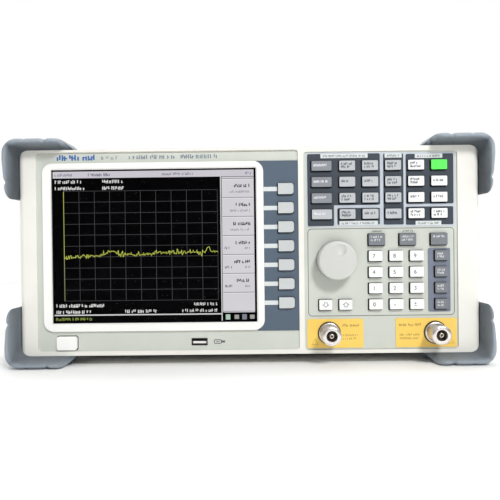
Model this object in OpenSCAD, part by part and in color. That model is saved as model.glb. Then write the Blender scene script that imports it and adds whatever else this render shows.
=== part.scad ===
// Bench spectrum analyzer: a moulded front frame with a colour display, a keypad, a tuning
// knob and two coaxial ports, on a sheet-metal case with rubber corner bumpers.
// X runs left to right, Y from front to back, Z up. The origin is on the floor, at the
// centre of the footprint. Lengths are in millimetres.

/* [Body] */
// Width of the moulded front bezel
bezel_w = 384; // [382:1:400]
// Height of the moulded front bezel
bezel_h = 172; // [172:1:186]
// Depth of the moulded front bezel
bezel_d = 40; // [36:1:50]
// Corner radius of the bezel, seen from the front
bezel_r = 9; // [8:0.5:11]
// Depth from the bezel's front face to the rear panel's outer face
body_d = 312; // [300:1:360]
// Thickness of the case's sheet metal
sheet_t = 1.5; // [1:0.1:2]

/* [Bumpers] */
// How far a bumper stands out past the bezel's sides, top and bottom
bumper_t = 8.5; // [7:0.5:10]
// How far a bumper stands out ahead of the bezel or behind the rear panel
bumper_lip = 16.5; // [14:0.5:19]
// Length of a bumper's upright arm, from the bezel's corner
bumper_arm_z = 42; // [36:1:50]
// Length of a bumper's level arm, from the bezel's corner
bumper_arm_x = 40; // [34:1:50]

/* [Display] */
// Width of the display's active area
lcd_w = 170.4; // [150:0.1:171]
// Height of the display's active area
lcd_h = 127.8; // [112:0.1:128.4]

/* [Keys] */
// How far a key travels when it is pressed
key_travel = 1.2; // [0.8:0.1:1.4]
// How far a key stands out of the front panel
key_out = 3.2; // [2.6:0.1:5]
// Gap between a key and the edge of its opening
key_gap = 0.6; // [0.4:0.05:0.8]
// How far the key openings sit to the left of the keys and below them
opening_shift = 0.25; // [0:0.05:0.3]

/* [Knob] */
// Diameter of the tuning knob
knob_d = 32.6; // [28:0.2:34]
// Length of the tuning knob
knob_l = 15; // [13:0.5:17]

/* [Ports] */
// Thread diameter of a coaxial port
port_thread_d = 15.875; // [15.8:0.005:15.9]
// How far a coaxial port stands out of the front panel
port_out = 22; // [20:0.5:24]

/* [Handle] */
// Length of the carrying handle's grip
handle_w = 130; // [110:1:160]
// Reach of the carrying handle, from its pivot to the middle of its grip
handle_reach = 46; // [42:1:52]

/* [Hidden] */
$fn = 48;
SOFT = 7;
DIGITS = 10;
UNITS = 4;

// Depth stations, front to back
panel_recess = 1.5;
panel_t = 3;
total_d = port_out - panel_recess + body_d + bumper_lip;
front_y = port_out - panel_recess - total_d / 2;
back_y = front_y + body_d;
panel_y = front_y + panel_recess;
panel_back = panel_y + panel_t;
overlay_t = 0.6;
flange_y = panel_back + 0.3;
flange_t = 1.5;
stem_l = 2.7;
switch_t = 1.4;
switch_y = flange_y + flange_t + stem_l + key_travel + 0.4;
board_y = switch_y + switch_t;
board_t = 1.6;

// Heights and outlines of the shells; places on the front are measured from the bezel's centre
mid_z = bumper_t + bezel_h / 2;
case_step = 2;
case_w = bezel_w - 2 * case_step;
case_h = bezel_h - 2 * case_step;
case_r = bezel_r - case_step;
case_front = front_y + bezel_d;
case_bottom = mid_z - case_h / 2;
case_top = mid_z + case_h / 2;
bezel_wall = 3;
wall_x = case_w / 2 - sheet_t;

// The two recesses of the bezel: [left, right, bottom, top]
left_recess = [-177.2, 41.8, -82.4, 84];
right_recess = [46.2, 173.8, -83, 82];
recess_r = 3;
bar_round = 5;

// Display
lcd_x = -79;
lcd_z = 5.2;
surround_w = 184.4;
surround_h = 140.4;
surround_z = 4.6;
surround_out = 2.5;
window_w = 175;
window_h = 132.4;
window_t = 1.5;
glass_gap = 0.3;

// Key sizes and places
soft_x = 31.4;
soft_z = 51.5;
soft_pitch = 15.8;
soft_w = 12.9;
soft_h = 9.1;
func_cols = 6;
func_rows = 4;
func_x = 63.4;
func_pitch_x = 19;
func_z = 70;
pitch_z = 13.4;
func_w = 13;
func_h = 8;
wide_x = 61.2;
wide_w = 16.5;
num_x = 105.3;
num_pitch_x = 17.05;
num_z = -5.2;
num_w = 11.2;
num_h = 8.4;
unit_x = 159.6;
unit_w = 10.4;
edit_x = [106.5, 132.1, 158];
edit_z = 8.4;
edit_w = 13.6;
edit_h = 9.6;
arrow_x = [80.3, 63.6];
arrow_w = 10.7;
power_x = -152.6;
power_z = -75.4;
power_w = 16.8;
power_h = 11.3;
power_r = 2;
key_r = 0.8;
soft_r = 2.2;
flange_over = 1.4;

// Knob, ports and sockets
knob_x = 72.7;
knob_z = -8.4;
shaft_r = 3;
running_gap = 0.05;
bushing_r = 4.5;
port_x = [66.5, 154.6];
port_z = -69.2;
usb_x = -41.9;
usb_z = -75.4;
usb_w = 13.1;
usb_h = 5.8;

// Handle
pivot_y = -5;
eye_r = 4.9;
pivot_z = case_top + eye_r + 0.4;
pin_r = 3;
lug_gap = 0.5;

// Cooling fan and the rear panel's fittings, seen in the same frame as the front
fan_x = 128;
fan_z = 96;
fan_size = 80;
fan_t = 25;
fan_hole_r = 38;
inlet_x = -140;
inlet_z = 34;
inlet_screw_x = 20;
inlet_screw_r = 1.7;
bnc_x = [-40, -10, 20];
bnc_z = 34;
lan_x = -84;
data_x = -64;
data_z = 32;

// Fixing screws: [distance back from the case's front edge, height above its underside]
screw_places = [[14, 18], [140, 18], [262, 53], [262, 113]];
screw_r = 1.5;

// A rectangle with round corners, centred
module rounded_rect(w, h, r) {
    square([w, h - 2 * r], center = true);
    square([w - 2 * r, h], center = true);
    for (sx = [-1, 1])
        for (sz = [-1, 1])
            translate([sx * (w / 2 - r), sz * (h / 2 - r)]) circle(r);
}

// A slot with round ends, upright and centred
module slot(w, h) {
    square([w, h - w], center = true);
    for (s = [-1, 1])
        translate([0, s * (h - w) / 2]) circle(w / 2);
}

// A rectangle with only its right corners round, centred
module tongue_rect(w, h, r) {
    translate([-w / 2, -h / 2]) square([w - r, h]);
    square([w, h - 2 * r], center = true);
    for (sz = [-1, 1])
        translate([w / 2 - r, sz * (h / 2 - r)]) circle(r);
}

// Stand a flat outline up, facing front, between two depths
module upright(y0, y1) {
    translate([0, y1, 0]) rotate([90, 0, 0]) linear_extrude(y1 - y0) children();
}

// Put something at a place on the front, measured from the bezel's centre
module on_front(x, z) {
    translate([x, 0, mid_z + z]) children();
}

// A round piece along Y, from y0 back to y1
module rod(r, y0, y1) {
    translate([0, y0, 0]) rotate([-90, 0, 0]) cylinder(r = r, h = y1 - y0);
}

// A rectangular opening given as [left, right, bottom, top]
module recess(box, r) {
    translate([(box[0] + box[1]) / 2, (box[2] + box[3]) / 2])
        rounded_rect(box[1] - box[0], box[3] - box[2], r);
}

// ---- Key layout ----

function func_at(c, r) = [c == 0 ? wide_x : func_x + func_pitch_x * c, func_z - pitch_z * r];
function func_width(c) = c == 0 ? wide_w : func_w;
function num_at(c, r) = [num_x + num_pitch_x * c, num_z - pitch_z * r];
function unit_at(r) = [unit_x, num_z - pitch_z * r];
function soft_at(i) = [soft_x, soft_z - soft_pitch * i];
// Number pad: digit 0 starts the last row, and 1, 2, 3 stand above it
function digit_at(d) = d == 0 ? num_at(0, 3) : num_at((d - 1) % 3, 2 - floor((d - 1) / 3));

module at(p) {
    translate([p[0], p[1]]) children();
}

// Outline of every key, each grown by a margin
module key_outlines(margin) {
    grow = 2 * margin;
    for (i = [0:SOFT - 1])
        at(soft_at(i)) tongue_rect(soft_w + grow, soft_h + grow, soft_r);
    for (c = [0:func_cols - 1])
        for (r = [0:func_rows - 1])
            at(func_at(c, r)) rounded_rect(func_width(c) + grow, func_h + grow, key_r);
    for (c = [0:2])
        for (r = [0:3])
            at(num_at(c, r)) rounded_rect(num_w + grow, num_h + grow, key_r);
    for (r = [0:UNITS - 1])
        at(unit_at(r)) rounded_rect(unit_w + grow, num_h + grow, key_r);
    for (x = edit_x)
        at([x, edit_z]) rounded_rect(edit_w + grow, edit_h + grow, key_r);
    for (x = arrow_x)
        at([x, num_at(0, 3)[1]]) rounded_rect(arrow_w + grow, num_h + grow, key_r);
}

module key_openings() {
    translate([-opening_shift, -opening_shift]) key_outlines(key_gap);
}

// Centres of all the switches behind the keys
module switch_places() {
    for (i = [0:SOFT - 1]) at(soft_at(i)) children();
    for (c = [0:func_cols - 1])
        for (r = [0:func_rows - 1])
            at(func_at(c, r)) children();
    for (c = [0:2])
        for (r = [0:3])
            at(num_at(c, r)) children();
    for (r = [0:UNITS - 1]) at(unit_at(r)) children();
    for (x = edit_x) at([x, edit_z]) children();
    for (x = arrow_x) at([x, num_at(0, 3)[1]]) children();
}

// A key: its cap, a wider flange that keeps it behind the panel, and the stem on its switch
module key_body(w, h) {
    upright(panel_y - key_out, flange_y + 0.1) children();
    upright(flange_y, flange_y + flange_t)
        square([w + 2 * flange_over, h + 2 * flange_over], center = true);
    rod(2, flange_y + flange_t - 0.1, flange_y + flange_t + stem_l);
}

module plain_key(w, h) {
    key_body(w, h) rounded_rect(w, h, key_r);
}

// ---- Front frame ----

module front_bezel() {
    color("#EEEDE6")
        difference() {
            intersection() {
                translate([0, 0, mid_z])
                    upright(front_y, case_front) rounded_rect(bezel_w, bezel_h, bezel_r);
                translate([0, 0, mid_z - bezel_h / 2])
                    linear_extrude(bezel_h) bezel_section();
            }
            translate([0, 0, mid_z]) {
                upright(panel_y, case_front + 1)
                    rounded_rect(bezel_w - 2 * bezel_wall, bezel_h - 2 * bezel_wall, bezel_r - bezel_wall);
                upright(front_y - 1, panel_y + 1) recess(left_recess, recess_r);
                upright(front_y - 1, panel_y + 1) recess(right_recess, recess_r);
            }
        }
}

// Plan of the bezel: the outer edges of its two side bars are round
module bezel_section() {
    translate([-bezel_w / 2, front_y + bar_round]) square([bezel_w, bezel_d - bar_round]);
    translate([-bezel_w / 2 + bar_round, front_y]) square([bezel_w - 2 * bar_round, bezel_d]);
    for (s = [-1, 1])
        translate([s * (bezel_w / 2 - bar_round), front_y + bar_round]) circle(bar_round);
}

module front_panel() {
    inner_w = bezel_w - 2 * bezel_wall - 0.4;
    inner_h = bezel_h - 2 * bezel_wall - 0.4;
    color("#D4D8D0")
        translate([0, 0, mid_z])
            upright(panel_y, panel_back)
                difference() {
                    rounded_rect(inner_w, inner_h, bezel_r - bezel_wall);
                    translate([lcd_x, lcd_z]) square([window_w + 1, window_h + 1], center = true);
                    key_openings();
                    at([knob_x, knob_z]) circle(bushing_r + 0.3);
                    for (x = port_x)
                        at([x, port_z]) circle(7.2);
                    at([usb_x, usb_z]) square([usb_w + 0.4, usb_h + 0.4], center = true);
                    at([power_x, power_z])
                        rounded_rect(power_w + 2 * key_gap, power_h + 2 * key_gap, power_r);
                }
}

// Raised frame round the display, sloping in towards it
module display_surround() {
    slope = 1.6;
    color("#F7F7F4")
        difference() {
            on_front(lcd_x - 0.4, surround_z)
                upright(panel_y - surround_out, panel_y) rounded_rect(surround_w, surround_h, 8.5);
            on_front(lcd_x, lcd_z)
                upright(panel_y - surround_out - 1, panel_y + 1)
                    square([lcd_w + 0.8, lcd_h + 0.8], center = true);
            for (s = [-1, 1]) {
                on_front(lcd_x + s * (lcd_w / 2 + 0.4), lcd_z)
                    translate([0, panel_y - surround_out, 0]) rotate([0, 0, 45])
                        cube([slope, slope, lcd_h + 0.8], center = true);
                on_front(lcd_x, lcd_z + s * (lcd_h / 2 + 0.4))
                    translate([0, panel_y - surround_out, 0]) rotate([45, 0, 0])
                        cube([lcd_w + 0.8, slope, slope], center = true);
            }
        }
}

module display_window() {
    color("#DDE6EA", 0.4)
        on_front(lcd_x, lcd_z)
            upright(panel_y, panel_y + window_t) square([window_w, window_h], center = true);
}

module lcd_module() {
    glass_y = panel_y + window_t + glass_gap;
    color("#101214")
        on_front(lcd_x, lcd_z) {
            upright(glass_y, panel_back + 0.4) square([window_w, window_h], center = true);
            upright(panel_back + 0.3, panel_back + 8) square([184, 141], center = true);
        }
}

// Slate grey backing plates behind the soft keys, the function keys and the unit keys
module key_plates() {
    plates = [
        [49.6, 71.4, 20.2, 80],
        [70, 109.8, 37.4, 80],
        [74.3, 109.5, 21, 34.8],
        [112.7, 129.3, 20.7, 79.8],
        [131.4, 170.7, 37.8, 79.2],
        [131.1, 170.4, 20.4, 35.4],
        [149.2, 167.5, -52, 0.8]
    ];
    color("#4B5563")
        translate([0, 0, mid_z])
            upright(panel_y - overlay_t, panel_y)
                difference() {
                    union() {
                        for (p = plates) recess(p, 1.2);
                        translate([7, -66.6]) square([34.8, 141.7]);
                    }
                    translate([lcd_x - 0.4, surround_z])
                        rounded_rect(surround_w + 0.2, surround_h + 0.2, 8.6);
                    key_openings();
                }
}

module port_plates() {
    color("#F9CF52")
        translate([0, 0, mid_z])
            upright(panel_y - overlay_t, panel_y)
                difference() {
                    union() {
                        recess([48.3, 94.9, -81.5, -57.4], 1);
                        recess([121.9, 172.5, -81.5, -57.4], 1);
                    }
                    for (x = port_x)
                        at([x, port_z]) circle(9.5);
                }
}

// Circuit boards behind the front: key switches, the knob's encoder and the power switch
module front_board() {
    encoder_l = 7;
    color("#1F6B43")
        difference() {
            union() {
                translate([0, 0, mid_z]) {
                    upright(board_y, board_y + board_t) recess([17, 178, -58, 80], 2);
                    upright(board_y, board_y + board_t) recess([-172, -132, -82, -67.5], 2);
                    upright(switch_y, board_y + 0.2) {
                        switch_places() square(6, center = true);
                        at([power_x, power_z]) square(6, center = true);
                    }
                }
                on_front(knob_x, knob_z) {
                    upright(board_y - encoder_l, board_y + 0.2) square(15, center = true);
                    rod(bushing_r, panel_y - 5, board_y - encoder_l + 0.2);
                }
            }
            on_front(knob_x, knob_z) rod(shaft_r + running_gap, panel_y - 6, board_y - 1);
        }
}

// Outline of a coaxial port, as [radius, distance ahead of the panel]
module port_profile() {
    thread_r = port_thread_d / 2;
    polygon([
        [0, -16], [2.6, -16], [2.6, -10], [7, -10], [7, 0], [9.2, 0], [9.2, 3.4], [8.6, 4],
        [7.1, 4], [7.1, port_out - 13], [thread_r, port_out - 13], [thread_r, port_out - 0.5],
        [thread_r - 0.5, port_out], [4.2, port_out], [4.2, port_out - 9], [0, port_out - 9]
    ]);
}

// Threaded coaxial ports: output on the left, input on the right
module rf_ports() {
    color("#D9D9DC")
        for (x = port_x)
            on_front(x, port_z) {
                difference() {
                    union() {
                        translate([0, panel_y, 0]) rotate([90, 0, 0]) rotate_extrude() port_profile();
                        rod(1.6, panel_y - port_out + 1, panel_y - port_out + 9.5);
                    }
                    rod(0.85, panel_y - port_out, panel_y - port_out + 6);
                }
                difference() {
                    translate([0, panel_back + 3, 0]) rotate([90, 0, 0]) cylinder(r = 10.5, h = 3, $fn = 6);
                    rod(7, panel_back - 1, panel_back + 4);
                }
            }
}

module usb_port() {
    shell = 0.35;
    color("#C9CCD0")
        on_front(usb_x, usb_z) {
            difference() {
                upright(panel_y - 0.3, panel_y + 14) square([usb_w, usb_h], center = true);
                upright(panel_y - 1, panel_y + 12.5)
                    square([usb_w - 2 * shell, usb_h - 2 * shell], center = true);
            }
            translate([-5.6, panel_y + 1, -1.5]) cube([11.2, 12, 1.8]);
        }
}

// ---- Corner bumpers ----

// Points along an arc
function arc(cx, cy, r, a0, a1, n) =
    [for (i = [0:n]) let (a = a0 + (a1 - a0) * i / n) [cx + r * cos(a), cy + r * sin(a)]];

// Section of a bumper: distance from the corner's centre, and distance outwards along Y.
// The lip's inner side slopes away from the panel, and its crest is round.
module bumper_section(r, t, reach, lip) {
    slope = 4.5;
    crest = 2;
    polygon(concat(
        [[r, -reach], [r, 0]],
        arc(r + slope, lip - 0.8, 0.8, 160, 90, 2),
        arc(r + t - crest, lip - crest, crest, 90, 0, 4),
        [[r + t, -reach]]
    ));
}

// One bumper round the upper right corner, whose centre is the origin; it faces -Y
module bumper(r, t, reach, lip) {
    tip = 10;
    rotate([90, 0, 0]) {
        rotate_extrude(angle = 90) bumper_section(r, t, reach, lip);
        rotate([90, 0, 0]) linear_extrude(bumper_arm_z - r) bumper_section(r, t, reach, lip);
        mirror([1, 0, 0]) rotate([90, 0, 90])
            linear_extrude(bumper_arm_x - r) bumper_section(r, t, reach, lip);
        translate([-(bumper_arm_x - r), 0, -reach])
            linear_extrude(reach) polygon([[0, r], [0, r + t], [-tip, r]]);
    }
}

// Four bumpers on the corners of an outline, w wide and h high
module bumper_set(w, h, r, t, reach, lip) {
    for (sx = [0, 1])
        for (sz = [0, 1])
            mirror([sx, 0, 0]) mirror([0, 0, sz])
                translate([w / 2 - r, 0, h / 2 - r]) bumper(r, t, reach, lip);
}

module corner_bumpers() {
    color("#7D8790") {
        translate([0, front_y, mid_z])
            bumper_set(bezel_w, bezel_h, bezel_r, bumper_t, bezel_d - 3, bumper_lip);
        translate([0, back_y, mid_z]) mirror([0, 1, 0])
            bumper_set(case_w, case_h, case_r, bumper_t + case_step, bezel_d - 3, bumper_lip);
    }
}

// ---- Case ----

// Centres of the ventilation slots on a side, as [Y, Z]
module side_vents() {
    for (i = [0:11])
        translate([40 + 8 * i, mid_z + 18, 0]) slot(3, 60);
}

// Put the same thing on both side walls at a screw's place
module at_screws() {
    for (s = [0, 1])
        for (p = screw_places)
            mirror([s, 0, 0])
                translate([case_w / 2, case_front + p[0], case_bottom + p[1]]) rotate([0, 90, 0]) children();
}

// Sheet-metal ring with the outline of the case
module case_ring(y0, y1, inset, t) {
    translate([0, 0, mid_z])
        upright(y0, y1)
            difference() {
                rounded_rect(case_w - 2 * inset, case_h - 2 * inset, case_r - inset);
                rounded_rect(case_w - 2 * (inset + t), case_h - 2 * (inset + t), case_r - inset - t);
            }
}

module top_cover() {
    floor_cut = case_r + sheet_t;
    color("#C9CCCB")
        difference() {
            union() {
                case_ring(case_front, back_y - 2, 0, sheet_t);
                handle_lugs();
            }
            translate([-case_w, case_front - 1, case_bottom - 1]) cube([2 * case_w, body_d, floor_cut]);
            rotate([90, 0, 90]) translate([0, 0, -case_w]) linear_extrude(2 * case_w) side_vents();
            at_screws() cylinder(r = screw_r + 0.1, h = 10, center = true);
        }
}

// Two lugs on the cover, each with a pin that the handle turns on
module handle_lugs() {
    for (s = [0, 1])
        mirror([s, 0, 0]) {
            translate([handle_w / 2 + lug_gap, pivot_y - 6, case_top - 0.5])
                cube([6, 12, 2 * eye_r + 0.6]);
            translate([handle_w / 2 - 4, pivot_y, pivot_z]) rotate([0, 90, 0]) cylinder(r = pin_r, h = 8);
        }
}

module bottom_tray() {
    flange_h = 26;
    edge = case_r + sheet_t - 1.3;
    color("#B9BDBE")
        difference() {
            union() {
                intersection() {
                    case_ring(case_front, back_y - 2, 0, sheet_t);
                    translate([-case_w, case_front - 1, case_bottom - 1]) cube([2 * case_w, body_d, edge]);
                }
                for (s = [0, 1])
                    mirror([s, 0, 0])
                        translate([wall_x - sheet_t, case_front, case_bottom + edge - 2])
                            cube([sheet_t, body_d - bezel_d - 4, flange_h]);
            }
            for (i = [0:9])
                translate([30 + 12 * i, 60, case_bottom - 1])
                    linear_extrude(4) slot(4, 60);
            at_screws() cylinder(r = screw_r, h = 14, center = true);
        }
}

module rear_panel() {
    panel = 2;
    tab = 14;
    color("#C4C8C8")
        difference() {
            union() {
                translate([0, 0, mid_z])
                    upright(back_y - panel, back_y) rounded_rect(case_w - 1, case_h - 1, case_r - 0.5);
                for (s = [0, 1])
                    mirror([s, 0, 0])
                        for (z = [case_bottom + 38, case_bottom + 98])
                            translate([wall_x - sheet_t, back_y - tab, z]) cube([sheet_t, tab - 1, 30]);
            }
            fan_grille();
            translate([inlet_x, 0, inlet_z]) {
                upright(back_y - 3, back_y + 1) square([27.6, 20.6], center = true);
                for (s = [-1, 1])
                    translate([s * inlet_screw_x, 0, 0]) rod(inlet_screw_r + 0.1, back_y - 3, back_y + 1);
            }
            for (x = bnc_x)
                translate([x, 0, bnc_z]) rod(4.9, back_y - 3, back_y + 1);
            translate([lan_x, 0, data_z])
                upright(back_y - 3, back_y + 1) square([16.4, 14], center = true);
            translate([data_x, 0, data_z])
                upright(back_y - 3, back_y + 1) square([12.4, 11.4], center = true);
            at_screws() cylinder(r = screw_r, h = 14, center = true);
        }
}

// Rings of curved slots that leave round ribs and four spokes
module fan_grille() {
    rib = 2;
    slot = 4.5;
    translate([fan_x, 0, fan_z])
        upright(back_y - 3, back_y + 1)
            difference() {
                for (i = [1:5])
                    difference() {
                        circle(5 + (slot + rib) * i + slot / 2);
                        circle(5 + (slot + rib) * i - slot / 2);
                    }
                rotate(45) square([100, 4], center = true);
                rotate(-45) square([100, 4], center = true);
            }
    for (sx = [-1, 1])
        for (sz = [-1, 1])
            translate([fan_x + sx * 35.75, 0, fan_z + sz * 35.75]) rod(2, back_y - 3, back_y + 1);
}

module fan_frame() {
    y1 = back_y - 2;
    strut_t = 3;
    color("#26282A")
        translate([fan_x, 0, fan_z]) {
            difference() {
                upright(y1 - fan_t, y1) rounded_rect(fan_size, fan_size, 4);
                rod(fan_hole_r, y1 - fan_t - 1, y1 + 1);
                for (sx = [-1, 1])
                    for (sz = [-1, 1])
                        translate([sx * 35.75, 0, sz * 35.75]) rod(2, y1 - fan_t - 1, y1 + 1);
            }
            for (a = [30, 150, 270])
                rotate([0, a, 0])
                    translate([10, y1 - fan_t, -2]) cube([fan_hole_r - 9, strut_t, 4]);
            difference() {
                rod(15, y1 - fan_t, y1 - fan_t + strut_t);
                rod(1.55, y1 - fan_t - 1, y1);
            }
        }
}

module fan_rotor() {
    y1 = back_y - 2;
    blades = 7;
    color("#303335")
        translate([fan_x, 0, fan_z]) {
            rod(15, y1 - fan_t + 4, y1 - 2);
            rod(1.5, y1 - fan_t + 0.5, y1 - fan_t + 5);
            intersection() {
                for (i = [0:blades - 1])
                    rotate([0, i * 360 / blades, 0])
                        translate([25, y1 - 10, 0]) rotate([40, 0, 0]) cube([23, 1.4, 24], center = true);
                rod(36.5, y1 - fan_t + 4, y1 - 2.5);
            }
        }
}

// ---- Inside the case ----

module board_on_posts(x, y, w, d, z) {
    translate([x, y, z]) cube([w, d, 1.6]);
    for (px = [x + 6, x + w - 6])
        for (py = [y + 6, y + d - 6])
            translate([px, py, case_bottom + sheet_t]) cylinder(r = 3, h = z - case_bottom - sheet_t);
}

module power_supply() {
    x = -176;
    y = 28;
    z = case_bottom + 8;
    top = z + 1.5;
    color("#3A6B50") {
        board_on_posts(x, y, 104, 116, z);
        translate([x + 10, y + 30, top]) cube([34, 30, 26]);
        for (i = [0:1])
            translate([x + 56, y + 22 + 40 * i, top]) cube([3, 34, 30]);
        for (i = [0:3])
            translate([x + 74 + 9 * (i % 2), y + 20 + 22 * i, top]) cylinder(r = 8, h = 28);
        translate([x + 10, y + 88, top]) cube([30, 14, 16]);
    }
}

module main_board() {
    x = -180;
    y = -108;
    z = case_bottom + 10;
    top = z + 1.5;
    color("#1F6B43") {
        board_on_posts(x, y, 196, 124, z);
        for (i = [0:2])
            translate([x + 24 + 52 * i, y + 40, top]) cube([28, 28, 2.6]);
        for (i = [0:8])
            translate([x + 76, y + 40 + 3 * i, top + 2]) cube([28, 1.2, 12]);
        translate([x + 20, y + 96, top]) cube([60, 8, 8]);
        translate([x + 110, y + 96, top]) cube([60, 8, 8]);
    }
}

// A milled screening box with a lid and screws, its corner at the origin
module screened_box(w, d, h) {
    cube([w, d, h]);
    translate([1.5, 1.5, h - 0.1]) cube([w - 3, d - 3, 2]);
    for (px = [6, w / 2, w - 6])
        for (py = [6, d / 2, d - 6])
            translate([px, py, h + 1.8]) cylinder(r = 2.4, h = 1.4);
}

module rf_module() {
    color("#B8BDC2") {
        translate([44, -116, case_bottom + sheet_t]) screened_box(136, 108, 44);
        translate([port_x[1], -122, mid_z + port_z]) rod(4, 0, 7);
    }
}

module tracking_generator() {
    color("#AEB4BA") {
        translate([44, 8, case_bottom + sheet_t]) screened_box(100, 84, 26);
        translate([38, 50, mid_z + port_z]) rotate([0, 90, 0]) cylinder(r = 4, h = 7);
    }
}

// Semi-rigid coaxial lines from the ports to the screened modules
module rf_cables() {
    r = 1.8;
    bend = 10;
    start = panel_y + 16;
    input_end = -122;
    lane = 24;
    run = port_x[0] - lane - 2 * bend;
    turn_y = -134;
    side_y = 50;
    color("#C98B5A")
        translate([0, 0, mid_z + port_z]) {
            translate([port_x[1], 0, 0]) rod(r, start, input_end);
            translate([port_x[0], 0, 0]) rod(r, start, turn_y);
            translate([port_x[0] - bend, turn_y, 0])
                rotate_extrude(angle = 90) translate([bend, 0]) circle(r);
            translate([port_x[0] - bend - run, turn_y + bend, 0])
                rotate([0, 90, 0]) cylinder(r = r, h = run);
            translate([lane + bend, turn_y + 2 * bend, 0])
                rotate([0, 0, 180]) rotate_extrude(angle = 90) translate([bend, 0]) circle(r);
            translate([lane, 0, 0]) rod(r, turn_y + 2 * bend, side_y - bend);
            translate([lane + bend, side_y - bend, 0])
                rotate([0, 0, 90]) rotate_extrude(angle = 90) translate([bend, 0]) circle(r);
            translate([lane + bend, side_y, 0]) rotate([0, 90, 0]) cylinder(r = r, h = 4);
        }
}

// ---- Rear fittings ----

module mains_inlet() {
    color("#1B1C1E")
        translate([inlet_x, 0, inlet_z]) {
            difference() {
                union() {
                    upright(back_y - 17, back_y + 0.1) square([27, 20], center = true);
                    upright(back_y, back_y + 2.5) rounded_rect(50, 24, 4);
                }
                upright(back_y - 13, back_y + 3) rounded_rect(24.4, 16.8, 2);
            }
            for (p = [[-7, -2], [7, -2], [0, 2]])
                translate([p[0] - 1, back_y - 14, p[1] - 2]) cube([2, 13, 4]);
            for (s = [-1, 1])
                translate([s * inlet_screw_x, 0, 0]) rod(inlet_screw_r, back_y - 1.9, back_y + 3.2);
        }
}

// Outline of a bayonet connector, as [radius, distance behind the panel]
module bnc_profile() {
    polygon([
        [0, -12], [3, -12], [3, -8], [4.7, -8], [4.7, 0], [6.5, 0], [6.5, 2.5], [4.8, 2.5], [4.8, 14],
        [3.9, 14], [3.9, 5], [1.1, 5], [1.1, 13], [0.7, 13], [0.7, 8], [0, 8]
    ]);
}

module rear_connectors() {
    color("#C7CACD") {
        for (x = bnc_x)
            translate([x, back_y, bnc_z]) {
                rotate([-90, 0, 0]) rotate_extrude() bnc_profile();
                for (s = [-1, 1])
                    translate([s * 4.6, 11, 0]) rotate([0, s * 90, 0]) cylinder(r = 1, h = 1.4);
            }
        translate([lan_x, 0, data_z])
            difference() {
                upright(back_y - 14, back_y + 0.6) square([16, 13.6], center = true);
                upright(back_y - 12, back_y + 1) square([11.8, 8.4], center = true);
            }
        translate([data_x, 0, data_z]) {
            difference() {
                upright(back_y - 14, back_y + 0.6) square([12, 11], center = true);
                upright(back_y - 10, back_y + 1) square([8.6, 7.8], center = true);
            }
            translate([-2.8, back_y - 11, -1.6]) cube([5.6, 9, 3.2]);
        }
    }
}

// Pan-head screws that hold the cover to the tray and the rear panel
module cover_screws() {
    color("#8F9499")
        at_screws() {
            cylinder(r = 2.8, h = 1.8);
            translate([0, 0, -6]) cylinder(r = screw_r, h = 6.1);
        }
}

// ---- Moving parts ----

module tuning_knob() {
    r = knob_d / 2;
    back = panel_y - overlay_t - 0.4;
    face = back - knob_l;
    color("#DEDFDB")
        on_front(knob_x, knob_z) {
            difference() {
                translate([0, back, 0]) rotate([90, 0, 0])
                    rotate_extrude($fn = 96)
                        polygon(concat(
                            [[0, 7], [r - 2.5, 7], [r - 2.5, 0], [r, 0]],
                            arc(r - 2.2, knob_l - 1.8, 1.8, 12, 90, 5),
                            [[0, knob_l]]
                        ));
                translate([2.2, face - 5, 8.6]) sphere(r = 7);
            }
            rod(shaft_r, back - 7.1, board_y - 1.5);
        }
}

module power_key() {
    color("#FBFBF9")
        on_front(power_x, power_z) key_body(power_w, power_h) rounded_rect(power_w, power_h, power_r);
}

module soft_key(i) {
    p = soft_at(i);
    color("#D5D7DB")
        on_front(p[0], p[1]) key_body(soft_w, soft_h) tongue_rect(soft_w, soft_h, soft_r);
}

module number_key(p) {
    color("#F7F7F5") on_front(p[0], p[1]) plain_key(num_w, num_h);
}

module arrow_key(i) {
    color("#F7F7F5") on_front(arrow_x[i], num_at(0, 3)[1]) plain_key(arrow_w, num_h);
}

module unit_key(i) {
    color("#8C9097") on_front(unit_at(i)[0], unit_at(i)[1]) plain_key(unit_w, num_h);
}

module edit_key(i) {
    color("#8C9097") on_front(edit_x[i], edit_z) plain_key(edit_w, edit_h);
}

// A block of function keys, from one column and row to another
module function_keys(c0, c1, r0, r1) {
    for (c = [c0:c1])
        for (r = [r0:r1])
            on_front(func_at(c, r)[0], func_at(c, r)[1]) plain_key(func_width(c), func_h);
}

module analyzer_keys() {
    color("#9A9EA6") {
        function_keys(0, 0, 0, 3);
        function_keys(1, 2, 0, 2);
    }
}

module measurement_keys() {
    color("#D5D7DB") function_keys(1, 2, 3, 3);
}

module marker_keys() {
    color("#D5D7DB") function_keys(3, 3, 0, 3);
}

module utility_keys() {
    color("#F7F7F5") function_keys(4, 5, 0, 2);
}

module setting_keys() {
    color("#F7F7F5") function_keys(4, 5, 3, 3);
}

// Fold-flat carrying handle, lying forwards on the cover
module carry_handle() {
    arm_t = 5;
    grip_w = 18;
    grip_t = 8.6;
    color("#3C4146")
        translate([0, pivot_y, pivot_z]) {
            for (s = [0, 1])
                mirror([s, 0, 0])
                    difference() {
                        union() {
                            translate([handle_w / 2 - arm_t, 0, 0])
                                rotate([0, 90, 0]) cylinder(r = eye_r, h = arm_t);
                            translate([handle_w / 2 - arm_t, -handle_reach, -grip_t / 2])
                                cube([arm_t, handle_reach, grip_t]);
                        }
                        translate([handle_w / 2 - arm_t - 1, 0, 0]) rotate([0, 90, 0])
                            cylinder(r = pin_r + running_gap, h = arm_t + 2);
                    }
            translate([-handle_w / 2, -handle_reach, 0]) rotate([90, 0, 90])
                linear_extrude(handle_w) rounded_rect(grip_w, grip_t, 4);
        }
}

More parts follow.
